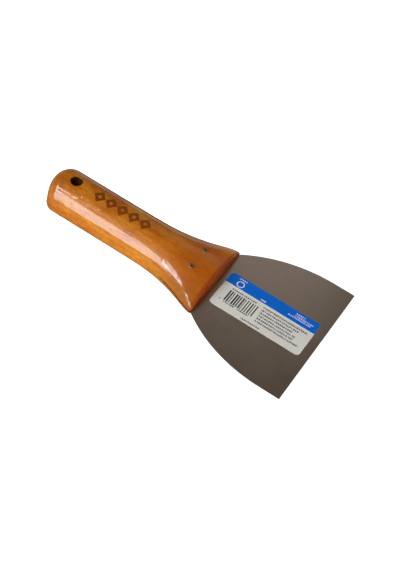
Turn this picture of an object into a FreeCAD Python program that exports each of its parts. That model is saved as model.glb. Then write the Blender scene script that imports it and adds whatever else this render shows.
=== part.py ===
"""Flexible putty knife: a wooden handle, a spring-steel blade held by two tubular rivets, and a label.

Frame: millimetres, +Z up. The origin is on the axis of the hanging hole, at the blade's mid-plane. +X runs
along the knife from the hanging hole to the scraping edge, and the labelled face of the blade looks along +Z.
"""
import FreeCAD, Part
import math
import os
import Sketcher

Vector = FreeCAD.Vector
X_AXIS = -1
Y_AXIS = -2
START = 1
END = 2
CENTRE = 3

doc = FreeCAD.newDocument("putty_knife")

# ----------------------------------------------------------------------------------------------------
# Driving dimensions
# ----------------------------------------------------------------------------------------------------
DIMENSIONS = {
    # handle
    "handle_front": 106.0,          # hanging hole to the handle's front face
    "butt_overhang": 15.0,          # hanging hole to the butt end
    "butt_arc": 26.0,               # radius of the butt's convex end, seen from above
    "butt_rounding": 7.0,
    "front_rounding": 1.2,
    "hang_hole_radius": 3.7,
    "hang_hole_rounding": 0.4,
    "kerf_depth": 29.0,
    "station_pitch": 12.2,          # from each cross-section of the handle to the next
    "cut_margin": 2.0,              # how far the outline of a cut reaches past the wood
    # blade
    "blade_thickness": 0.5,
    "blade_width": 100.0,
    "neck_width": 60.2,             # width where the blade leaves the handle
    "free_length": 73.0,            # handle front to scraping edge
    "side_arc": 95.3,               # radius of the flared sides
    "tang_width_front": 58.8,
    "tang_width_rear": 36.4,
    "tang_length": 28.6,
    "tang_corner": 3.0,
    "flex_axis": 22.0,              # handle front to the line that the blade flexes about
    "flex_gap": 0.02,
    # rivets
    "rivet_setback": 15.3,          # behind the handle's front face
    "rivet_spacing": 16.2,
    "rivet_radius": 1.3,
    "rivet_bore_radius": 0.75,
    "rivet_head_radius": 1.8,
    "rivet_head_height": 0.7,
    "rivet_seat": 10.9,             # underside of a rivet's head above the blade's mid-plane
    # label
    "label_setback": 3.7,           # handle front to the label's rear edge
    "label_length": 63.4,
    "label_width": 30.2,
    "label_offset": -0.5,           # sideways, from the knife's centre line
    "label_thickness": 0.1,
    "label_corner": 2.6,
    "label_gap": 0.35,              # from the flex axis to each half of the label
}

# The handle's cross-section at evenly spaced stations, the first at its front face. Each is an oval of four
# arcs: half width, half thickness, and the radius of its two side arcs.
STATIONS = [
    # name, half width, half thickness, side radius
    ("a", 30.4, 10.5, 2.6),
    ("b", 25.6, 11.8, 6.9),
    ("c", 20.9, 12.8, 8.5),
    ("d", 18.1, 13.3, 9.3),
    ("e", 17.0, 13.5, 9.6),
    ("f", 16.8, 13.5, 9.8),
    ("g", 16.8, 13.5, 9.8),
    ("j", 16.8, 13.5, 9.8),
    ("k", 16.8, 13.5, 9.8),
    ("n", 16.8, 13.5, 9.8),
    ("p", 16.8, 13.5, 9.8),
]
STATION_NAMES = [station[0] for station in STATIONS]
LAST_STATION = STATION_NAMES[-1]
for letter, half_width, half_thickness, side_radius in STATIONS:
    DIMENSIONS["half_width_" + letter] = half_width
    DIMENSIONS["half_thickness_" + letter] = half_thickness
    DIMENSIONS["side_radius_" + letter] = side_radius

sheet = doc.addObject("Spreadsheet::Sheet", "Sizes")
for row, (alias, value) in enumerate(DIMENSIONS.items(), start=1):
    sheet.set("A" + str(row), alias)
    sheet.set("B" + str(row), str(value))
    sheet.setAlias("B" + str(row), alias)
doc.recompute()


def size(alias):
    """The value of a driving dimension in millimetres."""
    return float(getattr(sheet, alias))


def cell(alias):
    """The name of a driving dimension in an expression."""
    return "Sizes." + alias


# ----------------------------------------------------------------------------------------------------
# Helpers
# ----------------------------------------------------------------------------------------------------
TOUCH = 0.01    # places closer than this are the same place


def new_body(label):
    """An empty body for one piece, labelled with the piece's name."""
    body = doc.addObject("PartDesign::Body", "Body_" + label)
    body.Label = label
    return body


def new_sketch(body, name, plane, offset=None):
    """A sketch on one of the body's own origin planes, moved along its normal by an expression."""
    sketch = body.newObject("Sketcher::SketchObject", name)
    role = plane + "_Plane"
    support = [item for item in body.Origin.OriginFeatures if item.Role == role][0]
    sketch.AttachmentSupport = [(support, "")]
    sketch.MapMode = "FlatFace"
    if offset:
        sketch.setExpression("AttachmentOffset.Base.z", offset)
    return sketch


def bind(sketch, kind, place, expression):
    """Adds a dimension to the sketch and ties it to an expression."""
    index = sketch.addConstraint(Sketcher.Constraint(kind, *place))
    sketch.setExpression("Constraints[" + str(index) + "]", expression)


def bind_place(sketch, kind, geometry, point, value, expression):
    """Ties a point's distance from the sketch's origin to an expression. The value's sign gives its side."""
    order = ((-1, START), (geometry, point)) if value > 0 else ((geometry, point), (-1, START))
    bind(sketch, kind, (*order[0], *order[1], abs(value)), expression)


def pad(body, sketch, name, length, both_ways=False):
    """A pad of the sketch, as long as an expression says."""
    feature = body.newObject("PartDesign::Pad", name)
    feature.Profile = sketch
    feature.setExpression("Length", length)
    feature.Midplane = both_ways
    doc.recompute()
    return feature


def cut_through(body, sketch, name):
    """A pocket through everything on both sides of the sketch, which must take material away."""
    before = body.Shape.Volume
    feature = body.newObject("PartDesign::Pocket", name)
    feature.Profile = sketch
    feature.Type = "ThroughAll"
    feature.Midplane = True
    doc.recompute()
    if body.Shape.Volume > before - TOUCH:
        raise RuntimeError(name + " cut nothing")
    return feature


def join(sketch, *places):
    """Makes neighbouring pieces of an outline meet: each place is (geometry, point, geometry, point)."""
    for place in places:
        sketch.addConstraint(Sketcher.Constraint("Coincident", *place))


def add_circle(sketch, x, y, radius_alias):
    """A circle whose radius is a driving dimension. Returns its number."""
    radius = size(radius_alias)
    circle = sketch.addGeometry(Part.Circle(Vector(x, y, 0), Vector(0, 0, 1), radius))
    bind(sketch, "Radius", (circle, radius), cell(radius_alias))
    return circle


def add_polyline(sketch, points):
    """Straight lines through the points, closed, with coincident ends. Returns the lines' numbers."""
    lines = []
    for first, second in zip(points, points[1:] + points[:1]):
        lines.append(sketch.addGeometry(Part.LineSegment(Vector(*first, 0), Vector(*second, 0))))
    for first, second in zip(lines, lines[1:] + lines[:1]):
        join(sketch, (first, END, second, START))
    return lines


def add_rectangle(sketch, left, right, bottom, top):
    """A rectangle. Each side is given as its value and the expression for its distance from the origin."""
    points = [(left[0], bottom[0]), (right[0], bottom[0]), (right[0], top[0]), (left[0], top[0])]
    lines = add_polyline(sketch, points)
    for line in (lines[0], lines[2]):
        sketch.addConstraint(Sketcher.Constraint("Horizontal", line))
    for line in (lines[1], lines[3]):
        sketch.addConstraint(Sketcher.Constraint("Vertical", line))
    bind_place(sketch, "DistanceX", lines[0], START, *left)
    bind_place(sketch, "DistanceX", lines[1], START, *right)
    bind_place(sketch, "DistanceY", lines[0], START, *bottom)
    bind_place(sketch, "DistanceY", lines[2], START, *top)
    return lines


def fillet(body, base, edges, name, radius):
    """A fillet on the named edges of a feature."""
    feature = body.newObject("PartDesign::Fillet", name)
    feature.Base = (base, edges)
    feature.setExpression("Radius", radius)
    doc.recompute()
    return feature


def edges_where(feature, test):
    """Names of the feature's edges whose bounding box and centre pass the test."""
    names = []
    for number, edge in enumerate(feature.Shape.Edges, start=1):
        if test(edge.BoundBox, edge.CenterOfMass):
            names.append("Edge" + str(number))
    return names


# ----------------------------------------------------------------------------------------------------
# Handle: one piece of beech
# ----------------------------------------------------------------------------------------------------
def oval_section(body, number, letter):
    """The handle's cross-section at one station: four tangent arcs, symmetrical both ways."""
    half_width = size("half_width_" + letter)
    half_thickness = size("half_thickness_" + letter)
    side = size("side_radius_" + letter)
    crown = (half_width ** 2 + half_thickness ** 2 - 2 * half_width * side) / (2 * (half_thickness - side))
    side_centre = half_width - side
    crown_centre = crown - half_thickness
    setback = str(number) + " * " + cell("station_pitch")
    sketch = new_sketch(body, "Section_" + letter, "YZ", cell("handle_front") + " - " + setback)

    lean = math.atan2(crown_centre, side_centre)
    arcs = [
        (Vector(side_centre, 0, 0), side, -lean, lean),
        (Vector(0, -crown_centre, 0), crown, lean, math.pi - lean),
        (Vector(-side_centre, 0, 0), side, math.pi - lean, math.pi + lean),
        (Vector(0, crown_centre, 0), crown, math.pi + lean, 2 * math.pi - lean),
    ]
    for centre, radius, first, last in arcs:
        sketch.addGeometry(Part.ArcOfCircle(Part.Circle(centre, Vector(0, 0, 1), radius), first, last))
    for arc in range(3):
        sketch.addConstraint(Sketcher.Constraint("Tangent", arc, END, arc + 1, START))
    sketch.addConstraint(Sketcher.Constraint("Coincident", 3, END, 0, START))
    for arc, axis in ((0, X_AXIS), (1, Y_AXIS), (2, X_AXIS)):
        sketch.addConstraint(Sketcher.Constraint("PointOnObject", arc, CENTRE, axis))
    sketch.addConstraint(Sketcher.Constraint("Equal", 0, 2))
    sketch.addConstraint(Sketcher.Constraint("Equal", 1, 3))
    width_cell = cell("half_width_" + letter)
    thickness_cell = cell("half_thickness_" + letter)
    side_cell = cell("side_radius_" + letter)
    crown_formula = "({w} * {w} + {k} * {k} - 2 * {w} * {r}) / (2 * ({k} - {r})) - {k}".format(
        w=width_cell, k=thickness_cell, r=side_cell)
    bind(sketch, "Radius", (0, side), side_cell)
    bind(sketch, "DistanceX", (-1, START, 0, CENTRE, side_centre), width_cell + " - " + side_cell)
    bind(sketch, "DistanceY", (1, CENTRE, -1, START, crown_centre), crown_formula)
    return sketch


def loft_the_handle():
    """The handle's wood before anything is cut from it."""
    body = new_body("handle")
    sections = [oval_section(body, number, letter) for number, letter in enumerate(STATION_NAMES)]
    doc.recompute()
    loft = body.newObject("PartDesign::AdditiveLoft", "Grip")
    loft.Profile = sections[0]
    loft.Sections = sections[1:]
    loft.Ruled = False
    loft.Closed = False
    doc.recompute()
    return body, loft


def dome_the_butt(body, loft):
    """Cuts the butt to a convex arc, seen from above, and rounds its rim."""
    radius = size("butt_arc")
    centre = radius - size("butt_overhang")
    half = size("half_width_" + LAST_STATION) + size("cut_margin")
    far = -size("butt_overhang") - size("cut_margin")
    reach = math.sqrt(radius ** 2 - half ** 2)
    spread = math.atan2(half, reach)
    sketch = new_sketch(body, "Butt_outline", "XY")
    circle = Part.Circle(Vector(centre, 0, 0), Vector(0, 0, 1), radius)
    arc = sketch.addGeometry(Part.ArcOfCircle(circle, math.pi - spread, math.pi + spread))
    lower = Vector(centre - reach, -half, 0)
    upper = Vector(centre - reach, half, 0)
    corners = [lower, Vector(far, -half, 0), Vector(far, half, 0), upper]
    lines = []
    for first, second in zip(corners[:-1], corners[1:]):
        lines.append(sketch.addGeometry(Part.LineSegment(first, second)))
    join(sketch, (arc, END, lines[0], START), (lines[0], END, lines[1], START))
    join(sketch, (lines[1], END, lines[2], START), (lines[2], END, arc, START))
    sketch.addConstraint(Sketcher.Constraint("Horizontal", lines[0]))
    sketch.addConstraint(Sketcher.Constraint("Vertical", lines[1]))
    sketch.addConstraint(Sketcher.Constraint("Horizontal", lines[2]))
    sketch.addConstraint(Sketcher.Constraint("PointOnObject", arc, CENTRE, X_AXIS))
    bind(sketch, "Radius", (arc, radius), cell("butt_arc"))
    half_cells = cell("half_width_" + LAST_STATION) + " + " + cell("cut_margin")
    bind_place(sketch, "DistanceX", arc, CENTRE, centre, cell("butt_arc") + " - " + cell("butt_overhang"))
    bind_place(sketch, "DistanceX", lines[1], START, far, cell("butt_overhang") + " + " + cell("cut_margin"))
    bind_place(sketch, "DistanceY", lines[0], START, -half, half_cells)
    bind_place(sketch, "DistanceY", lines[2], END, half, half_cells)
    trimmed = cut_through(body, sketch, "Butt_cut")
    rim = edges_where(trimmed, lambda box, middle: box.XMax < centre - reach)
    return fillet(body, trimmed, rim, "Butt_rounding", cell("butt_rounding"))


def round_the_front(body, base):
    """Breaks the edge all round the handle's front face."""
    front = size("handle_front")
    rim = edges_where(base, lambda box, middle: box.XMin > front - TOUCH)
    return fillet(body, base, rim, "Front_rounding", cell("front_rounding"))


def saw_the_kerf(body):
    """The slot for the tang, as thick as the blade and open at the front and at both sides."""
    sketch = new_sketch(body, "Kerf_outline", "XZ")
    front = size("handle_front")
    depth = size("kerf_depth")
    half = size("blade_thickness") / 2
    rear = cell("handle_front") + " - " + cell("kerf_depth")
    half_cell = cell("blade_thickness") + " / 2"
    add_rectangle(
        sketch,
        (front - depth, rear),
        (front + size("cut_margin"), cell("handle_front") + " + " + cell("cut_margin")),
        (-half, half_cell),
        (half, half_cell),
    )
    return cut_through(body, sketch, "Kerf")


def rivet_circles(body, name, radius_alias, offset=None):
    """Two circles at the rivets' places."""
    sketch = new_sketch(body, name, "XY", offset)
    x = size("handle_front") - size("rivet_setback")
    for side in (1, -1):
        y = side * size("rivet_spacing") / 2
        circle = add_circle(sketch, x, y, radius_alias)
        x_cells = cell("handle_front") + " - " + cell("rivet_setback")
        bind_place(sketch, "DistanceX", circle, CENTRE, x, x_cells)
        bind_place(sketch, "DistanceY", circle, CENTRE, y, cell("rivet_spacing") + " / 2")
    return sketch


def counterbore(body, name, offset, upward):
    """Seats for the rivets' heads on one face of the handle."""
    sketch = rivet_circles(body, name + "_circles", "rivet_head_radius", offset)
    before = body.Shape.Volume
    feature = body.newObject("PartDesign::Pocket", name)
    feature.Profile = sketch
    feature.Type = "ThroughAll"
    feature.Reversed = upward
    doc.recompute()
    removed = before - body.Shape.Volume
    wood_over_seat = size("half_thickness_" + LAST_STATION) - size("rivet_seat")
    most = 2 * math.pi * size("rivet_head_radius") ** 2 * wood_over_seat
    if not TOUCH < removed < most:
        raise RuntimeError(name + " removed " + str(removed))
    return feature


def drill_the_hang_hole(body):
    """The hole that the knife hangs by, with its rims broken."""
    sketch = new_sketch(body, "Hang_hole_circle", "XY")
    circle = add_circle(sketch, 0, 0, "hang_hole_radius")
    for axis in (X_AXIS, Y_AXIS):
        sketch.addConstraint(Sketcher.Constraint("PointOnObject", circle, CENTRE, axis))
    hole = cut_through(body, sketch, "Hang_hole")
    across = 2 * size("hang_hole_radius")
    rims = edges_where(
        hole,
        lambda box, middle: abs(box.YLength - across) < 5 * TOUCH and abs(box.XLength - across) < 5 * TOUCH,
    )
    return fillet(body, hole, rims, "Hang_hole_rims", cell("hang_hole_rounding"))


# ----------------------------------------------------------------------------------------------------
# Blade: one sheet of spring steel, in two nodes that meet at the flex axis
# ----------------------------------------------------------------------------------------------------
def side_arc_centre():
    """Centre of the arc that flares the blade's left side, and the expressions for its two distances."""
    radius = size("side_arc")
    rise = (size("blade_width") - size("neck_width")) / 2
    run = math.sqrt(radius ** 2 - (radius - rise) ** 2)
    centre = (size("handle_front") + run, size("blade_width") / 2 - radius)
    rise_cells = "(" + cell("blade_width") + " - " + cell("neck_width") + ") / 2"
    arc_cell = cell("side_arc")
    x_formula = "{front} + sqrt({arc} * {arc} - ({arc} - {rise}) * ({arc} - {rise}))".format(
        front=cell("handle_front"), arc=arc_cell, rise=rise_cells)
    y_formula = arc_cell + " - " + cell("blade_width") + " / 2"
    return centre, x_formula, y_formula


def half_width_at(x):
    """Half the blade's width at a place on its flared sides."""
    centre = side_arc_centre()[0]
    return centre[1] + math.sqrt(size("side_arc") ** 2 - (centre[0] - x) ** 2)


def add_side_arcs(sketch, first_x, last_x):
    """The blade's two flared sides between two places. Returns the arcs on the left, then on the right."""
    centre, x_formula, y_formula = side_arc_centre()
    radius = size("side_arc")
    arcs = []
    for side in (1, -1):
        middle = Vector(centre[0], side * centre[1], 0)
        ends = [Vector(x, side * half_width_at(x), 0) for x in (first_x, last_x)]
        if side > 0:
            ends.reverse()
        angles = [(point - middle).getAngle(Vector(1, 0, 0)) * side for point in ends]
        circle = Part.Circle(middle, Vector(0, 0, 1), radius)
        arc = sketch.addGeometry(Part.ArcOfCircle(circle, angles[0], angles[1]))
        bind(sketch, "Radius", (arc, radius), cell("side_arc"))
        bind_place(sketch, "DistanceX", arc, CENTRE, middle.x, x_formula)
        bind_place(sketch, "DistanceY", arc, CENTRE, middle.y, y_formula)
        arcs.append(arc)
    return arcs


def make_blade_root():
    """The tang and the part of the blade behind the flex axis."""
    body = new_body("blade_root")
    front = size("handle_front")
    end = front + size("flex_axis") - size("blade_thickness") / 2 - size("flex_gap")
    rear = front - size("tang_length")
    tang_front = size("tang_width_front") / 2
    tang_rear = size("tang_width_rear") / 2
    neck = size("neck_width") / 2
    sketch = new_sketch(body, "Root_outline", "XY")
    left, right = add_side_arcs(sketch, front, end)
    outline = [
        Vector(front, neck, 0),
        Vector(front, tang_front, 0),
        Vector(rear, tang_rear, 0),
        Vector(rear, -tang_rear, 0),
        Vector(front, -tang_front, 0),
        Vector(front, -neck, 0),
    ]
    lines = []
    for first, second in zip(outline[:-1], outline[1:]):
        lines.append(sketch.addGeometry(Part.LineSegment(first, second)))
    edge_points = [Vector(end, side * half_width_at(end), 0) for side in (-1, 1)]
    edge = sketch.addGeometry(Part.LineSegment(*edge_points))
    join(sketch, (left, END, lines[0], START), (lines[-1], END, right, START))
    join(sketch, (right, END, edge, START), (edge, END, left, START))
    for first, second in zip(lines[:-1], lines[1:]):
        join(sketch, (first, END, second, START))
    for line in (lines[0], lines[2], lines[4], edge):
        sketch.addConstraint(Sketcher.Constraint("Vertical", line))
    rear_formula = cell("handle_front") + " - " + cell("tang_length")
    end_formula = "{front} + {axis} - {thick} / 2 - {gap}".format(
        front=cell("handle_front"),
        axis=cell("flex_axis"),
        thick=cell("blade_thickness"),
        gap=cell("flex_gap"),
    )
    for line in (lines[0], lines[4]):
        bind_place(sketch, "DistanceX", line, START, front, cell("handle_front"))
    bind_place(sketch, "DistanceX", lines[2], START, rear, rear_formula)
    bind_place(sketch, "DistanceX", edge, START, end, end_formula)
    bind_place(sketch, "DistanceY", lines[1], START, tang_front, cell("tang_width_front") + " / 2")
    bind_place(sketch, "DistanceY", lines[1], END, tang_rear, cell("tang_width_rear") + " / 2")
    bind_place(sketch, "DistanceY", lines[3], START, -tang_rear, cell("tang_width_rear") + " / 2")
    bind_place(sketch, "DistanceY", lines[3], END, -tang_front, cell("tang_width_front") + " / 2")
    plate = pad(body, sketch, "Root_plate", cell("blade_thickness"), both_ways=True)
    corners = edges_where(plate, lambda box, middle: box.XMax < rear + TOUCH and box.YLength < TOUCH)
    fillet(body, plate, corners, "Tang_corners", cell("tang_corner"))
    cut_through(body, rivet_circles(body, "Tang_hole_circles", "rivet_radius"), "Tang_holes")
    return body


def make_blade_front():
    """The part of the blade in front of the flex axis. Its rear edge is round about that axis."""
    body = new_body("blade_front")
    front = size("handle_front")
    axis = front + size("flex_axis")
    edge_x = front + size("free_length")
    half = size("blade_width") / 2
    arc_end = side_arc_centre()[0][0]
    sketch = new_sketch(body, "Front_outline", "XY")
    left, right = add_side_arcs(sketch, axis, arc_end)
    outline = [
        Vector(arc_end, -half, 0),
        Vector(edge_x, -half, 0),
        Vector(edge_x, half, 0),
        Vector(arc_end, half, 0),
    ]
    lines = []
    for first, second in zip(outline[:-1], outline[1:]):
        lines.append(sketch.addGeometry(Part.LineSegment(first, second)))
    rear_points = [Vector(axis, side * half_width_at(axis), 0) for side in (1, -1)]
    rear = sketch.addGeometry(Part.LineSegment(*rear_points))
    join(sketch, (rear, END, right, START), (left, END, rear, START))
    sketch.addConstraint(Sketcher.Constraint("Tangent", right, END, lines[0], START))
    join(sketch, (lines[0], END, lines[1], START), (lines[1], END, lines[2], START))
    sketch.addConstraint(Sketcher.Constraint("Tangent", lines[2], END, left, START))
    for line in (lines[0], lines[2]):
        sketch.addConstraint(Sketcher.Constraint("Horizontal", line))
    for line in (lines[1], rear):
        sketch.addConstraint(Sketcher.Constraint("Vertical", line))
    axis_cells = cell("handle_front") + " + " + cell("flex_axis")
    edge_cells = cell("handle_front") + " + " + cell("free_length")
    bind_place(sketch, "DistanceX", rear, START, axis, axis_cells)
    bind_place(sketch, "DistanceX", lines[1], START, edge_x, edge_cells)
    pad(body, sketch, "Front_plate", cell("blade_thickness"), both_ways=True)

    round_sketch = new_sketch(body, "Rear_edge_circle", "XZ")
    circle = Part.Circle(Vector(axis, 0, 0), Vector(0, 0, 1), size("blade_thickness") / 2)
    disc = round_sketch.addGeometry(circle)
    bind(round_sketch, "Radius", (disc, circle.Radius), cell("blade_thickness") + " / 2")
    bind_place(round_sketch, "DistanceX", disc, CENTRE, axis, axis_cells)
    round_sketch.addConstraint(Sketcher.Constraint("PointOnObject", disc, CENTRE, X_AXIS))
    _, x_formula, y_formula = side_arc_centre()
    width_formula = "2 * (sqrt({arc} * {arc} - ({x} - {axis}) * ({x} - {axis})) - ({y}))".format(
        arc=cell("side_arc"),
        x="(" + x_formula + ")",
        y=y_formula,
        axis="(" + axis_cells + ")",
    )
    pad(body, round_sketch, "Rear_edge", width_formula, both_ways=True)
    return body


# ----------------------------------------------------------------------------------------------------
# Rivets: tubes through the handle and the tang, flared at both ends
# ----------------------------------------------------------------------------------------------------
def make_rivet(label, side):
    """One tubular rivet, on the left of the centre line where side is 1 and on the right where it is -1."""
    body = new_body(label)
    bore = size("rivet_bore_radius")
    shank = size("rivet_radius")
    head = size("rivet_head_radius")
    seat = size("rivet_seat")
    top = seat + size("rivet_head_height")
    sketch = new_sketch(body, label + "_profile", "XZ")
    points = [(bore, -top), (head, -top), (head, -seat), (shank, -seat),
              (shank, seat), (head, seat), (head, top), (bore, top)]
    lines = add_polyline(sketch, points)
    for line in lines[0::2]:
        sketch.addConstraint(Sketcher.Constraint("Horizontal", line))
    for line in lines[1::2]:
        sketch.addConstraint(Sketcher.Constraint("Vertical", line))
    top_cells = cell("rivet_seat") + " + " + cell("rivet_head_height")
    bind_place(sketch, "DistanceX", lines[0], START, bore, cell("rivet_bore_radius"))
    bind_place(sketch, "DistanceX", lines[1], START, head, cell("rivet_head_radius"))
    bind_place(sketch, "DistanceX", lines[3], START, shank, cell("rivet_radius"))
    bind_place(sketch, "DistanceX", lines[5], START, head, cell("rivet_head_radius"))
    bind_place(sketch, "DistanceY", lines[0], START, -top, top_cells)
    bind_place(sketch, "DistanceY", lines[2], START, -seat, cell("rivet_seat"))
    bind_place(sketch, "DistanceY", lines[4], START, seat, cell("rivet_seat"))
    bind_place(sketch, "DistanceY", lines[6], START, top, top_cells)
    tube = body.newObject("PartDesign::Revolution", label + "_tube")
    tube.Profile = sketch
    tube.ReferenceAxis = (sketch, ["V_Axis"])
    tube.Angle = 360.0
    doc.recompute()
    rims = edges_where(
        tube,
        lambda box, middle: abs(abs(box.ZMax) - top) < TOUCH and box.XLength > 2 * shank,
    )
    fillet(body, tube, rims, label + "_rims", cell("rivet_head_height") + " / 2")
    body.setExpression("Placement.Base.x", cell("handle_front") + " - " + cell("rivet_setback"))
    sign = "" if side > 0 else "-"
    body.setExpression("Placement.Base.y", sign + cell("rivet_spacing") + " / 2")
    doc.recompute()
    return body


# ----------------------------------------------------------------------------------------------------
# Label: one sticker on the blade, in two nodes that follow the blade's two parts
# ----------------------------------------------------------------------------------------------------
def make_label_half(label, rear_half):
    """The label's film behind the flex axis, or in front of it. Only its outer corners are rounded."""
    body = new_body(label)
    base = cell("handle_front") + " + "
    axis = size("handle_front") + size("flex_axis")
    gap = size("label_gap")
    start = size("handle_front") + size("label_setback")
    start_formula = base + cell("label_setback")
    end = start + size("label_length")
    if rear_half:
        left = (start, start_formula)
        right = (axis - gap, base + cell("flex_axis") + " - " + cell("label_gap"))
    else:
        left = (axis + gap, base + cell("flex_axis") + " + " + cell("label_gap"))
        right = (end, start_formula + " + " + cell("label_length"))
    low = size("label_offset") - size("label_width") / 2
    high = size("label_offset") + size("label_width") / 2
    sketch = new_sketch(body, label + "_outline", "XY", cell("blade_thickness") + " / 2")
    add_rectangle(
        sketch,
        left,
        right,
        (low, cell("label_width") + " / 2 - " + cell("label_offset")),
        (high, cell("label_width") + " / 2 + " + cell("label_offset")),
    )
    film = pad(body, sketch, label + "_film", cell("label_thickness"))
    outer = left[0] if rear_half else right[0]
    corners = edges_where(
        film,
        lambda box, middle: abs(middle.x - outer) < TOUCH and box.YLength < TOUCH and box.XLength < TOUCH,
    )
    fillet(body, film, corners, label + "_corners", cell("label_corner"))
    return body


# ----------------------------------------------------------------------------------------------------
# Build, check, write
# ----------------------------------------------------------------------------------------------------
handle, grip = loft_the_handle()
domed = dome_the_butt(handle, grip)
round_the_front(handle, domed)
saw_the_kerf(handle)
cut_through(handle, rivet_circles(handle, "Rivet_hole_circles", "rivet_radius"), "Rivet_holes")
counterbore(handle, "Upper_seats", cell("rivet_seat"), True)
counterbore(handle, "Lower_seats", "-" + cell("rivet_seat"), False)
drill_the_hang_hole(handle)

pieces = [
    handle,
    make_blade_root(),
    make_blade_front(),
    make_rivet("rivet_left", 1),
    make_rivet("rivet_right", -1),
    make_label_half("label_rear", True),
    make_label_half("label_front", False),
]
doc.recompute()

for item in doc.Objects:
    if "Invalid" in item.State or "Error" in item.State:
        raise RuntimeError(item.Label + " failed: " + item.getStatusString())

os.makedirs("parts", exist_ok=True)
for piece in pieces:
    shape = piece.Shape
    if shape.isNull() or not shape.isValid():
        raise RuntimeError(piece.Label + " has no valid shape")
    box = shape.BoundBox
    print(piece.Label, len(shape.Solids), "solid", round(shape.Volume, 2), "mm3",
          "x", round(box.XMin, 2), round(box.XMax, 2),
          "y", round(box.YMin, 2), round(box.YMax, 2),
          "z", round(box.ZMin, 2), round(box.ZMax, 2))
    shape.exportStep("parts/" + piece.Label + ".step")
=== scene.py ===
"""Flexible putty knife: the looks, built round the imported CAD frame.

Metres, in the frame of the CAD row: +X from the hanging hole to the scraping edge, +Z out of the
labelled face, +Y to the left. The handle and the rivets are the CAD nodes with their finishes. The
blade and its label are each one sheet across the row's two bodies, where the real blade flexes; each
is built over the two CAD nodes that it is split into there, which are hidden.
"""
import math

import bmesh
import bpy
from mathutils import Matrix, Vector


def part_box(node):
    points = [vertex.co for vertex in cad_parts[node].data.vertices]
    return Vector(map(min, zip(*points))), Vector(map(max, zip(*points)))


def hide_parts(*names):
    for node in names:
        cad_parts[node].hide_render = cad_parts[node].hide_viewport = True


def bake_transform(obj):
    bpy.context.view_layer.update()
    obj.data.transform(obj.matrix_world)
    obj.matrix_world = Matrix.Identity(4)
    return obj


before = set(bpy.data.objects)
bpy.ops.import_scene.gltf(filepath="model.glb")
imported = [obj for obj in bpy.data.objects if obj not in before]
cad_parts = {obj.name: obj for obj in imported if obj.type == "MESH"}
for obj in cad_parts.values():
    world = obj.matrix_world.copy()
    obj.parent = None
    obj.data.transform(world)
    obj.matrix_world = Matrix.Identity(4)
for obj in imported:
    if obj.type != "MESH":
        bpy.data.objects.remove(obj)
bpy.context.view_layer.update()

MM = 0.001

# ---------------------------------------------------------------------------------------------------
# Places
# ---------------------------------------------------------------------------------------------------
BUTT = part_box("handle")[0].x
HANDLE_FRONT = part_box("handle")[1].x
TANG_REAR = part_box("blade_root")[0].x
BLADE_EDGE, HALF_BLADE, BLADE_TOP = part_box("blade_front")[1]
LABEL_REAR, LABEL_RIGHT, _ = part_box("label_rear")[0]
LABEL_FRONT, LABEL_LEFT, LABEL_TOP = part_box("label_front")[1]

TANG_FRONT = HANDLE_FRONT - 0.1 * MM
BLADE_BEVEL = 0.18 * MM
LABEL_BEVEL = 0.01 * MM
SIDE_ARC = 95.3 * MM            # radius of the blade's flared sides
HALF_NECK = 30.1 * MM           # half the blade's width where it leaves the handle
HALF_TANG_FRONT = 29.4 * MM
HALF_TANG_REAR = 18.2 * MM
LABEL_CORNER = 2.6 * MM
CORNER_STEPS = 8                # stations round each corner of the label
FINE_STEP = 1.5 * MM            # between the stations of whatever bends
COARSE_STEP = 2 * MM            # between the stations of the tang, which doesn't bend


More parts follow.
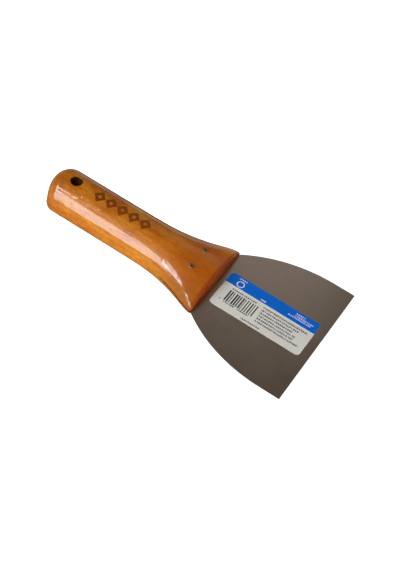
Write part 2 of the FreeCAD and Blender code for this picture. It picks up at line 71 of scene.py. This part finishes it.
# ---------------------------------------------------------------------------------------------------
# Nodes
# ---------------------------------------------------------------------------------------------------
class Finish:
    """A material with a Principled shader, and short calls for the nodes that feed it."""

    def __init__(self, name):
        self.material = bpy.data.materials.new(name)
        self.material.use_nodes = True
        self.tree = self.material.node_tree
        self.shader = self.tree.nodes["Principled BSDF"]

    def fill(self, socket, value):
        """Links a socket to another, or sets its value."""
        if isinstance(value, bpy.types.NodeSocket):
            self.tree.links.new(value, socket)
        else:
            socket.default_value = value

    def set(self, name, value):
        """Feeds an input of the shader."""
        self.fill(self.shader.inputs[name], value)

    def node(self, kind, **inputs):
        made = self.tree.nodes.new(kind)
        for name, value in inputs.items():
            self.fill(made.inputs[name.replace("_", " ")], value)
        return made

    def math(self, operation, *values):
        made = self.tree.nodes.new("ShaderNodeMath")
        made.operation = operation
        for socket, value in zip(made.inputs, values):
            self.fill(socket, value)
        return made.outputs[0]

    def add(self, first, second):
        return self.math("ADD", first, second)

    def times(self, first, second):
        return self.math("MULTIPLY", first, second)

    def above(self, value, edge, blur):
        """1 where the value is over the edge and 0 where it is under, with a soft step."""
        start = edge - blur / 2
        end = edge + blur / 2
        return self.node("ShaderNodeMapRange", Value=value, From_Min=start, From_Max=end).outputs[0]

    def below(self, value, edge, blur):
        """1 where the value is under the edge and 0 where it is over, with a soft step."""
        return self.math("SUBTRACT", 1.0, self.above(value, edge, blur))

    def between(self, value, low, high, blur):
        """1 between the two edges and 0 outside them, with soft steps."""
        return self.times(self.above(value, low, blur), self.below(value, high, blur))

    def distance(self, along, across):
        """How far a place is from where both values are 0."""
        return self.math("SQRT", self.add(self.times(along, along), self.times(across, across)))

    def mix(self, share, first, second, blend_type="MIX"):
        made = self.tree.nodes.new("ShaderNodeMix")
        made.data_type = "RGBA"
        made.blend_type = blend_type
        for socket, value in ((made.inputs[0], share), (made.inputs[6], first), (made.inputs[7], second)):
            self.fill(socket, value)
        return made.outputs[2]

    def ramp(self, source, *stops):
        """A colour ramp through (place, colour) stops."""
        made = self.node("ShaderNodeValToRGB", Fac=source)
        elements = made.color_ramp.elements
        while len(elements) < len(stops):
            elements.new(1.0)
        for element, (place, colour) in zip(elements, stops):
            element.position = place
            element.color = colour
        return made.outputs[0]

    def stretched(self, place, x, y, z):
        """Coordinates multiplied along each axis, so in features per metre."""
        return self.node("ShaderNodeMapping", Vector=place, Scale=(x, y, z)).outputs[0]

    def noise(self, place, detail=2.0, roughness=0.5, distortion=0.0):
        """Noise of features about one unit of the given coordinates across."""
        made = self.node("ShaderNodeTexNoise", Vector=place, Scale=1.0, Detail=detail)
        self.fill(made.inputs["Roughness"], roughness)
        self.fill(made.inputs["Distortion"], distortion)
        return made.outputs[0]

    def chance(self, column, row):
        """A random value for each whole column and row."""
        cell = self.node("ShaderNodeCombineXYZ", X=self.math("FLOOR", column), Y=self.math("FLOOR", row))
        return self.node("ShaderNodeTexWhiteNoise", Vector=cell.outputs[0]).outputs["Value"]

    def bump(self, height, distance, strength, under=None):
        made = self.node("ShaderNodeBump", Height=height, Distance=distance, Strength=strength)
        if under is not None:
            self.fill(made.inputs["Normal"], under)
        return made.outputs[0]

    def own_place(self):
        """Coordinates of a rigid piece, in metres."""
        return self.tree.nodes.new("ShaderNodeTexCoord").outputs["Object"]

    def rest_place(self):
        """Coordinates stored on a sheet before it bends, in metres."""
        stored = self.tree.nodes.new("ShaderNodeAttribute")
        stored.attribute_name = "rest"
        return stored.outputs["Vector"]

    def axes(self, place):
        return self.node("ShaderNodeSeparateXYZ", Vector=place).outputs


def tint(red, green, blue):
    return (red, green, blue, 1.0)


def grey(value):
    return (value, value, value, 1.0)


# ---------------------------------------------------------------------------------------------------
# Finishes
# ---------------------------------------------------------------------------------------------------
# The row of burnt lozenges on the grip
BURN_FIRST = 14 * MM
BURN_PITCH = 8.4 * MM
BURN_COUNT = 5
BURN_CENTRE = -0.8 * MM
BURN_HALF_LENGTH = 4.2 * MM
BURN_HALF_WIDTH = 4.8 * MM
BURN_LOWEST = 5 * MM            # only the wood above this height is burnt

# The wood's growth rings
RING_PITCH = 2.3 * MM
RING_LEAN = 0.22                # how much of Y is added to Z, so that the rings lie at a slant
RING_WANDER = 5.0               # in pitches

# Where the stain changes along the handle, and where light is painted on it
END_GRAIN = BUTT + 4.5 * MM     # darker behind this
FLARE_REAR = 92 * MM            # another tone from about here to the front
PAINTED_LIGHT_REAR = 88 * MM         # painted light: the flare's left shoulder is painted paler in front of this, against the shade where it turns away from the key light
PAINTED_LIGHT_SIDE = 17 * MM         # and to the left of this
FRONT_BAND = 2.3 * MM           # darker on this much of the wood behind the front face
RAGGED = 2.0 * MM               # how much that band's rear edge wanders
CHIPPED_RIM = 1.5 * MM          # chips show on this much of the wood behind the front face

# Painted shade in the openings
KERF_SHADE_REAR = TANG_REAR - 0.4 * MM
KERF_SHADE_HALF_HEIGHT = 0.45 * MM
HOLE_SHADE_RADIUS = 3.95 * MM   # a little over the hanging hole's own, so that the painted shade covers the whole wall


def burnt_lozenges(make, x, y, z):
    """Mask of a row of hollow lozenges on the upper face of the grip."""
    along = make.math("DIVIDE", make.math("SUBTRACT", x, BURN_FIRST), BURN_PITCH)
    within = make.math("SUBTRACT", make.math("FRACT", along), 0.5)
    far_x = make.times(make.math("ABSOLUTE", within), BURN_PITCH / BURN_HALF_LENGTH)
    far_y = make.times(make.math("ABSOLUTE", make.math("SUBTRACT", y, BURN_CENTRE)), 1 / BURN_HALF_WIDTH)
    ring = make.between(make.add(far_x, far_y), 0.32, 1.0, 0.16)
    row = make.between(along, 0.0, float(BURN_COUNT), 0.01)
    return make.times(make.times(ring, row), make.above(z, BURN_LOWEST, MM))


def beech_grain(make, place, cloud, fibre):
    """The wood's own colour: soft clouds with growth rings, fibres, mottling and ray flecks."""
    _, y, z = make.axes(place)
    wander = make.noise(make.stretched(place, 16, 70, 70), 3, 0.5)
    mottle = make.noise(make.stretched(place, 300, 520, 520), 3, 0.55, 0.6)
    flecks = make.noise(make.stretched(place, 420, 1900, 1900), 2, 0.5)

    colour = make.ramp(
        cloud,
        (0.32, tint(0.47, 0.118, 0.002)),
        (0.50, tint(0.62, 0.200, 0.006)),
        (0.70, tint(0.72, 0.285, 0.012)),
    )
    across = make.add(z, make.times(y, RING_LEAN))
    rings = make.math("FRACT", make.add(make.times(across, 1 / RING_PITCH), make.times(wander, RING_WANDER)))
    late_wood = make.ramp(rings, (0.0, grey(0.0)), (0.72, grey(0.25)), (0.93, grey(1.0)), (1.0, grey(0.0)))
    colour = make.mix(make.times(late_wood, 0.28), colour, tint(0.40, 0.080, 0.004))
    colour = make.mix(0.55, colour, make.ramp(fibre, (0.3, grey(0.62)), (0.7, grey(1.18))), "MULTIPLY")
    colour = make.mix(0.5, colour, make.ramp(mottle, (0.32, grey(0.70)), (0.62, grey(1.12))), "MULTIPLY")
    fleck = make.ramp(flecks, (0.60, grey(0.0)), (0.70, grey(0.45)))
    return make.mix(fleck, colour, tint(0.22, 0.045, 0.003))


def stained(make, colour, place, cloud):
    """The same wood with its darker butt, the tones of the flare, painted light on the flare's left shoulder
    and the burnt row.
    """
    x, y, z = make.axes(place)
    end_grain = make.below(x, END_GRAIN, 8 * MM)
    colour = make.mix(make.times(end_grain, 0.5), colour, tint(0.28, 0.085, 0.005))

    flare = make.above(make.add(x, make.times(cloud, 30 * MM)), FLARE_REAR, 24 * MM)
    flat = make.above(make.math("ABSOLUTE", z), 7 * MM, 6 * MM)
    flare_stain = make.mix(flat, tint(0.29, 0.098, 0.004), tint(0.45, 0.080, 0.001))
    colour = make.mix(make.times(flare, 0.62), colour, flare_stain)

    # painted light: the flare's left shoulder is made paler, lifting the shade where it turns away from the
    # key light
    leftward_painted_light = make.above(y, PAINTED_LIGHT_SIDE, 14 * MM)
    painted_light_on_shoulder = make.times(leftward_painted_light, make.above(x, PAINTED_LIGHT_REAR, 24 * MM))
    colour = make.mix(make.times(painted_light_on_shoulder, 0.65), colour, tint(0.95, 0.34, 0.012))

    scorch = make.math("MULTIPLY_ADD", cloud, 0.8, 0.42)
    burnt = make.times(burnt_lozenges(make, x, y, z), scorch)
    return make.mix(burnt, colour, tint(0.13, 0.022, 0.002))


def with_front(make, colour, place, cloud, front):
    """The same wood with the dark band, the bare face and the chipped rim at its front."""
    x = make.axes(place)[0]
    ragged = make.add(x, make.times(make.math("SUBTRACT", cloud, 0.5), RAGGED))
    band = make.above(ragged, HANDLE_FRONT - FRONT_BAND, 0.6 * MM)
    colour = make.mix(make.times(band, 0.82), colour, tint(0.36, 0.048, 0.002))
    colour = make.mix(make.times(front, 0.75), colour, tint(0.46, 0.086, 0.007))

    chips = make.above(make.noise(make.stretched(place, 620, 420, 420), 2, 0.5), 0.66, 0.05)
    rim = make.between(x, HANDLE_FRONT - CHIPPED_RIM, HANDLE_FRONT - 0.1 * MM, 0.3 * MM)
    return make.mix(make.times(make.times(chips, rim), 0.75), colour, tint(0.85, 0.40, 0.130))


def with_painted_shade_in_openings(make, colour, place):
    """The same wood, with painted shade in the saw cut for the blade and in the hanging hole."""
    x, y, z = make.axes(place)
    # painted shade: a near-black band where the saw cut for the blade opens
    cut = make.between(z, -KERF_SHADE_HALF_HEIGHT, KERF_SHADE_HALF_HEIGHT, 0.3 * MM)
    kerf_painted_shade = make.times(cut, make.above(x, KERF_SHADE_REAR, 2 * MM))
    colour = make.mix(make.times(kerf_painted_shade, 0.85), colour, tint(0.10, 0.014, 0.001))
    # painted shade: the hanging hole's wall darkened almost to black
    hole = make.below(make.distance(x, y), HOLE_SHADE_RADIUS, 0.3 * MM)
    return make.mix(make.times(hole, 0.93), colour, tint(0.030, 0.006, 0.002))


def varnished_beech():
    """Orange-stained beech under a thick glossy varnish, which stops at the front face."""
    make = Finish("varnished_beech")
    place = make.own_place()
    cloud = make.noise(make.stretched(place, 45, 90, 90), 4, 0.6, 0.3)
    fibre = make.noise(make.stretched(place, 90, 1500, 1500), 3, 0.6)
    front = make.above(make.axes(place)[0], HANDLE_FRONT - 0.5 * MM, 0.8 * MM)

    colour = beech_grain(make, place, cloud, fibre)
    colour = stained(make, colour, place, cloud)
    colour = with_front(make, colour, place, cloud, front)
    make.set("Base Color", with_painted_shade_in_openings(make, colour, place))

    ripple = make.noise(make.stretched(place, 110, 260, 260), 2, 0.5)
    lumps = make.noise(make.stretched(place, 330, 330, 330), 1, 0.4)
    dents = make.ramp(lumps, (0.24, grey(0.0)), (0.34, grey(1.0)))
    wavy = make.bump(ripple, 0.10 * MM, 0.30)
    pitted = make.bump(dents, 0.12 * MM, 0.5, wavy)
    make.set("Normal", make.bump(fibre, 0.02 * MM, 0.5, pitted))
    make.set("Coat Normal", pitted)
    make.set("Roughness", 0.5)
    make.set("Coat Weight", make.math("SUBTRACT", 1.0, front))
    make.set("Coat Roughness", 0.10)
    make.set("Coat IOR", 1.4)
    make.set("Specular IOR Level", 0.15)
    return make.material


def ground_steel():
    """Brownish grey spring steel, satin ground and lightly oiled."""
    make = Finish("ground_steel")
    place = make.rest_place()
    cloud = make.noise(make.stretched(place, 35, 35, 35), 4, 0.6, 0.4)
    lines = make.noise(make.stretched(place, 120, 5200, 120), 3, 0.6)
    colour = make.ramp(cloud, (0.3, tint(0.545, 0.462, 0.385)), (0.7, tint(0.625, 0.530, 0.448)))
    colour = make.mix(0.3, colour, make.ramp(lines, (0.3, grey(0.80)), (0.7, grey(1.12))), "MULTIPLY")
    make.set("Base Color", colour)
    make.set("Metallic", 1.0)
    make.set("Roughness", make.ramp(cloud, (0.25, grey(0.30)), (0.75, grey(0.37))))
    make.set("Normal", make.bump(lines, 0.006 * MM, 0.4))
    return make.material


def sheared_edge_painted_shade():
    """The blade's cut edges, rougher than its ground faces, and painted near-black as shade for the dark
    outline along them.
    """
    make = Finish("sheared_edge_painted_shade")
    grain = make.noise(make.stretched(make.rest_place(), 1500, 1500, 4000), 3, 0.6)
    # painted shade: the edges' near-black colour stands for the dark outline they show; the roughness is
    # their own
    colour = make.ramp(grain, (0.3, tint(0.045, 0.036, 0.030)), (0.7, tint(0.11, 0.092, 0.078)))
    make.set("Base Color", colour)
    make.set("Metallic", 1.0)
    make.set("Roughness", 0.5)
    return make.material


def plated_rivet():
    """Dull, yellowish plating."""
    make = Finish("plated_rivet")
    place = make.own_place()
    wear = make.noise(make.stretched(place, 1400, 1400, 1400), 3, 0.6)
    make.set("Base Color", make.ramp(wear, (0.32, tint(0.24, 0.200, 0.125)), (0.68, tint(0.50, 0.44, 0.31))))
    make.set("Metallic", 1.0)
    make.set("Roughness", make.ramp(wear, (0.3, grey(0.65)), (0.7, grey(0.48))))
    return make.material


# The label's print, in millimetres: u from its rear edge, v to the left of the blade's centre line
BAND_RIGHT = 5.4
BAND_RULE = 0.45                # a white line along the band's right edge
BAR_CODE = (5.6, 26.4, -8.6, 1.1)       # first u, last u, lowest v, highest v
BAR_PITCH = 1.6
STROKE = (0.45, 0.60)           # the cells that are missing by chance
LETTER_PITCH = 1.35
# Lines of print, as (first u, last u, middle v)
SMALL_LINES = (
    (29.0, 59.8, 2.6), (28.9, 55.2, 0.1), (28.9, 51.8, -2.3), (29.2, 55.0, -4.8), (29.2, 54.8, -7.2),
    (29.2, 59.6, -9.7),
)
OTHER_DARK_LINES = (
    (6.6, 24.2, 2.7), (6.9, 14.7, -9.5), (16.9, 24.7, -9.5), (3.6, 4.6, -8.9), (22.0, 34.8, -13.6),
)
WHITE_LINES = (
    (47.3, 54.0, 12.3), (47.0, 60.0, 10.4), (43.2, 58.8, 8.7), (6.0, 11.6, 12.9), (24.4, 28.4, 7.2),
)
RING_CENTRE = (9.0, 8.8)        # a plain white ring on the band
RING_RADIUS = 2.6
RING_WIDTH = 0.65


def printed_lines(make, u, v, lines, half_height, blocks):
    """Mask of a few lines of small print, each made of the same broken blocks."""
    total = 0.0
    for first, last, middle in lines:
        line = make.times(
            make.between(u, first, last, 0.1),
            make.between(v, middle - half_height, middle + half_height, 0.1),
        )
        total = make.add(total, line)
    return make.times(total, blocks)


def broken_blocks(make, u, v):
    """Mask of blocks that stand for letters: a gap after each, and a few strokes missing by chance."""
    letters = make.math("FRACT", make.times(u, 1 / LETTER_PITCH))
    strokes = make.chance(make.times(u, 1 / STROKE[0]), make.times(v, 1 / STROKE[1]))
    return make.times(make.math("LESS_THAN", letters, 0.68), make.math("LESS_THAN", strokes, 0.86))


def bar_code(make, u, v):
    """Mask of a rectangle of bars with random widths."""
    bars = make.times(u, 1 / BAR_PITCH)
    widths = make.math("MULTIPLY_ADD", make.chance(bars, 3.0), 0.55, 0.22)
    left, right, low, high = BAR_CODE
    code = make.times(make.between(u, left, right, 0.1), make.between(v, low, high, 0.1))
    return make.times(code, make.math("LESS_THAN", make.math("FRACT", bars), widths))


def printed_label():
    """Light grey sticker with a blue band, a bar code and lines of unreadable small print."""
    make = Finish("printed_label")
    place = make.rest_place()
    x, y, _ = make.axes(place)
    u = make.times(make.math("SUBTRACT", x, LABEL_REAR), 1 / MM)
    v = make.times(y, 1 / MM)

    paper = make.noise(make.stretched(place, 60, 60, 60), 3, 0.6)
    colour = make.ramp(paper, (0.3, tint(0.795, 0.800, 0.755)), (0.7, tint(0.850, 0.855, 0.810)))

    blocks = broken_blocks(make, u, v)
    dark = make.add(
        printed_lines(make, u, v, SMALL_LINES, 0.66, blocks),
        printed_lines(make, u, v, OTHER_DARK_LINES, 0.55, blocks),
    )
    dark = make.add(dark, bar_code(make, u, v))
    colour = make.mix(make.math("MINIMUM", dark, 0.96), colour, tint(0.030, 0.030, 0.032))

    colour = make.mix(make.above(v, BAND_RIGHT - BAND_RULE, 0.15), colour, grey(0.95))
    colour = make.mix(make.above(v, BAND_RIGHT, 0.15), colour, tint(0.0, 0.158, 0.74))
    reach = make.distance(make.math("SUBTRACT", u, RING_CENTRE[0]), make.math("SUBTRACT", v, RING_CENTRE[1]))
    ring = make.between(reach, RING_RADIUS - RING_WIDTH, RING_RADIUS, 0.15)
    white = make.add(ring, printed_lines(make, u, v, WHITE_LINES, 0.5, blocks))
    colour = make.mix(make.math("MINIMUM", white, 0.85), colour, grey(0.95))
    make.set("Base Color", colour)
    make.set("Roughness", make.ramp(paper, (0.3, grey(0.36)), (0.7, grey(0.44))))
    make.set("Specular IOR Level", 0.2)
    make.set("Normal", make.bump(paper, 0.02 * MM, 0.3))
    return make.material


def sticker_edge():
    """The label's cut edges, where the paper shows."""
    make = Finish("sticker_edge")
    fuzz = make.noise(make.stretched(make.rest_place(), 2000, 2000, 2000), 2, 0.5)
    make.set("Base Color", make.ramp(fuzz, (0.3, tint(0.60, 0.54, 0.48)), (0.7, tint(0.80, 0.75, 0.70))))
    make.set("Roughness", 0.7)
    return make.material


# ---------------------------------------------------------------------------------------------------
# Sheets
# ---------------------------------------------------------------------------------------------------
def link_mesh(name, data, materials):
    """An object from a bmesh, with its rest coordinates stored for the finishes."""
    mesh = bpy.data.meshes.new(name)
    bmesh.ops.recalc_face_normals(data, faces=data.faces)
    data.to_mesh(mesh)
    data.free()
    rest = mesh.attributes.new("rest", "FLOAT_VECTOR", "POINT")
    for vertex, stored in zip(mesh.vertices, rest.data):
        stored.vector = vertex.co
    for material in materials:
        mesh.materials.append(material)
    piece = bpy.data.objects.new(name, mesh)
    bpy.context.scene.collection.objects.link(piece)
    return piece


RIM_SIDES = 3                   # a bevel, the rim and another bevel


def make_sheet(name, stations, low_z, high_z, bevel, materials, columns=28):
    """A thin sheet from (x, lowest y, highest y) stations, with bevelled edges.

    Its rim takes the second of the materials.
    """
    data = bmesh.new()
    loops = []
    last = len(stations) - 1
    for number, (x, low_y, high_y) in enumerate(stations):
        inset = 0.0 if 0 < number < last else bevel
        inner_low, inner_high = low_y + bevel, high_y - bevel
        across = [inner_low + (inner_high - inner_low) * step / columns for step in range(columns + 1)]
        top = [(x, y, high_z - inset) for y in across]
        bottom = [(x, y, low_z + inset) for y in reversed(across)]
        right_rim = [(x, low_y, low_z + bevel), (x, low_y, high_z - bevel)]
        left_rim = [(x, high_y, high_z - bevel), (x, high_y, low_z + bevel)]
        loops.append([data.verts.new(point) for point in top + left_rim + bottom + right_rim])
    around = len(loops[0])
    rim_sides = set(range(columns, columns + RIM_SIDES)) | set(range(around - RIM_SIDES, around))
    for number, (near, far) in enumerate(zip(loops, loops[1:])):
        at_end = number in (0, last - 1)
        for side in range(around):
            after = (side + 1) % around
            face = data.faces.new((near[side], near[after], far[after], far[side]))
            on_rim = side in rim_sides or at_end
            face.material_index = 1 if on_rim else 0
            face.smooth = not on_rim
    for loop in (loops[0], loops[-1]):
        face = data.faces.new(loop)
        face.material_index = 1
    for edge in data.edges:
        edge.smooth = all(face.smooth for face in edge.link_faces)
    return link_mesh(name, data, materials)


def spread(first, last, step):
    """Evenly spaced places from first to last, about a step apart."""
    count = max(1, round((last - first) / step))
    return [first + (last - first) * number / count for number in range(count + 1)]


def blade_half_width(x):
    """Half the blade's width at a place in front of the handle."""
    rise = HALF_BLADE - HALF_NECK
    run = math.sqrt(SIDE_ARC ** 2 - (SIDE_ARC - rise) ** 2)
    short = max(0.0, HANDLE_FRONT + run - x)
    return HALF_BLADE - SIDE_ARC + math.sqrt(SIDE_ARC ** 2 - short ** 2)


def make_blade(materials):
    """One sheet of steel: the tang in the handle, then the flared part in front of it."""
    stations = []
    for x in spread(TANG_REAR, TANG_FRONT, COARSE_STEP):
        share = (x - TANG_REAR) / (HANDLE_FRONT - TANG_REAR)
        half = HALF_TANG_REAR + (HALF_TANG_FRONT - HALF_TANG_REAR) * share
        stations.append((x, -half, half))
    for x in spread(HANDLE_FRONT, BLADE_EDGE - BLADE_BEVEL, FINE_STEP) + [BLADE_EDGE]:
        half = blade_half_width(x)
        stations.append((x, -half, half))
    return make_sheet("blade", stations, -BLADE_TOP, BLADE_TOP, BLADE_BEVEL, materials)


def make_label(materials):
    """The sticker: a rectangle with rounded corners."""
    places = []
    for step in range(CORNER_STEPS + 1):
        lean = math.radians(90) * step / CORNER_STEPS
        places.append(LABEL_CORNER * (1 - math.cos(lean)))
    rear = [LABEL_REAR + place for place in places]
    front = [LABEL_FRONT - place for place in reversed(places)]
    middle = spread(rear[-1], front[0], FINE_STEP)[1:-1]
    stations = []
    for x in rear + middle + front:
        to_end = min(x - LABEL_REAR, LABEL_FRONT - x)
        short = max(0.0, LABEL_CORNER - to_end)
        drop = LABEL_CORNER - math.sqrt(LABEL_CORNER ** 2 - short ** 2)
        stations.append((x, LABEL_RIGHT + drop, LABEL_LEFT - drop))
    return make_sheet("label", stations, BLADE_TOP, LABEL_TOP, LABEL_BEVEL, materials, columns=16)


# ---------------------------------------------------------------------------------------------------
# Studio
# ---------------------------------------------------------------------------------------------------
FLOOR_DROP = 60 * MM            # the knife is shown well above the floor, so that the blade can flex down
FLOOR_RADIUS = 9.5
MIDDLE = Vector((0.08, 0, 0))   # about the middle of the knife; the lights face it
AIM = Vector((99.33 * MM, -8.10 * MM, 0))
CAMERA_AZIMUTH = 17.69
CAMERA_ELEVATION = 48.64
CAMERA_DISTANCE = 0.7616
CAMERA_ROLL = 18.07
CAMERA_LENS = 79.5
FILM_HEIGHT = 36.0
DAYLIGHT = (0.90, 1.0, 1.12)


def make_floor():
    """A plain white floor that glows, so that hardly any shadow shows on it."""
    data = bmesh.new()
    bmesh.ops.create_circle(data, cap_ends=True, segments=128, radius=FLOOR_RADIUS)
    bmesh.ops.translate(data, verts=data.verts, vec=(MIDDLE.x, 0, -FLOOR_DROP))
    make = Finish("white_floor")
    make.set("Base Color", grey(0.8))
    make.set("Roughness", 0.9)
    make.set("Emission Color", grey(1.0))
    make.set("Emission Strength", 0.95)
    floor = link_mesh("floor", data, [make.material])
    floor.visible_glossy = False


def outwards(azimuth, elevation):
    """The direction from the knife to a camera or a light, in degrees round from -Y towards +X and up."""
    turn = math.radians(azimuth)
    rise = math.radians(elevation)
    return Vector((math.sin(turn) * math.cos(rise), -math.cos(turn) * math.cos(rise), math.sin(rise)))


def make_camera():
    """Over the knife's -Y side, about 49 degrees up, and rolled by about 18 degrees."""
    data = bpy.data.cameras.new("camera")
    data.sensor_fit = "VERTICAL"
    data.sensor_height = FILM_HEIGHT
    data.lens = CAMERA_LENS
    data.clip_start = 0.01
    data.clip_end = 100.0
    camera = bpy.data.objects.new("camera", data)
    bpy.context.scene.collection.objects.link(camera)
    back = outwards(CAMERA_AZIMUTH, CAMERA_ELEVATION)
    roll = Matrix.Rotation(math.radians(CAMERA_ROLL), 3, "Z")
    turned = back.to_track_quat("Z", "Y").to_matrix() @ roll
    camera.matrix_world = Matrix.Translation(AIM + back * CAMERA_DISTANCE) @ turned.to_4x4()
    bpy.context.scene.camera = camera


def softbox(name, azimuth, elevation, distance, width, height, radiance):
    """A rectangular light that faces the middle of the knife, equally bright at any size."""
    data = bpy.data.lights.new(name, "AREA")
    data.shape = "RECTANGLE"
    data.size = width
    data.size_y = height
    data.energy = radiance * width * height * math.pi
    light = bpy.data.objects.new(name, data)
    bpy.context.scene.collection.objects.link(light)
    back = outwards(azimuth, elevation)
    light.location = MIDDLE + back * distance
    light.rotation_euler = back.to_track_quat("Z", "Y").to_euler()
    return light


def make_lights():
    """A key and a fill for the matt surfaces; windows and a faint panel for the glossy ones."""
    key = softbox("key", -30, 43, 1.3, 1.0, 1.0, 4.8)
    key.visible_glossy = False
    fill = softbox("fill", 80, 35, 1.3, 1.0, 1.0, 1.0)
    fill.visible_glossy = False
    for name, azimuth, elevation, width, height, radiance in (
        ("window", -24, 36, 0.46, 0.50, 9.8),
        ("window_middle", -43, 46, 0.16, 0.16, 17.0),
        ("window_side", -54, 53, 0.22, 0.22, 17.0),
    ):
        pane = softbox(name, azimuth, elevation, 1.1, width, height, radiance)
        pane.data.color = DAYLIGHT
        pane.visible_diffuse = False
    panel = softbox("panel", 186, 39, 0.33, 0.18, 0.15, 0.33)
    panel.visible_diffuse = False


def make_world(*stops):
    """A studio shaded by height, through (sine of the elevation, colour) stops."""
    world = bpy.data.worlds.new("studio")
    world.use_nodes = True
    tree = world.node_tree
    place = tree.nodes.new("ShaderNodeTexCoord")
    axes = tree.nodes.new("ShaderNodeSeparateXYZ")
    height = tree.nodes.new("ShaderNodeMapRange")
    height.inputs["From Min"].default_value = -1.0
    shade = tree.nodes.new("ShaderNodeValToRGB")
    tree.links.new(place.outputs["Generated"], axes.inputs[0])
    tree.links.new(axes.outputs[2], height.inputs["Value"])
    tree.links.new(height.outputs[0], shade.inputs[0])
    tree.links.new(shade.outputs[0], tree.nodes["Background"].inputs["Color"])
    elements = shade.color_ramp.elements
    while len(elements) < len(stops):
        elements.new(1.0)
    for element, (sine, colour) in zip(elements, stops):
        element.position = (1 + sine) / 2
        element.color = colour
    shade.color_ramp.interpolation = "EASE"
    bpy.context.scene.world = world


# ---------------------------------------------------------------------------------------------------
# The knife, and the studio round it
# ---------------------------------------------------------------------------------------------------
blade = make_blade([ground_steel(), sheared_edge_painted_shade()])
label = make_label([printed_label(), sticker_edge()])
for sheet, nodes, slot in (
    (blade, ("blade_root", "blade_front"), "blade_steel"),
    (label, ("label_rear", "label_front"), "label"),
):
    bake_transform(sheet)
    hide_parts(*nodes)

rivet = plated_rivet()
for node, finish in (("handle", varnished_beech()), ("rivet_left", rivet), ("rivet_right", rivet)):
    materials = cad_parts[node].data.materials
    materials.clear()
    materials.append(finish)

make_camera()
make_floor()
make_world(
    (-0.40, tint(0.075, 0.050, 0.035)),     # a dark table under the knife, seen only in glossy surfaces
    (-0.12, grey(0.50)),
    (0.0, grey(0.50)),
    (0.19, tint(0.070, 0.050, 0.035)),
)
make_lights()
bpy.context.scene.view_settings.view_transform = "Standard"
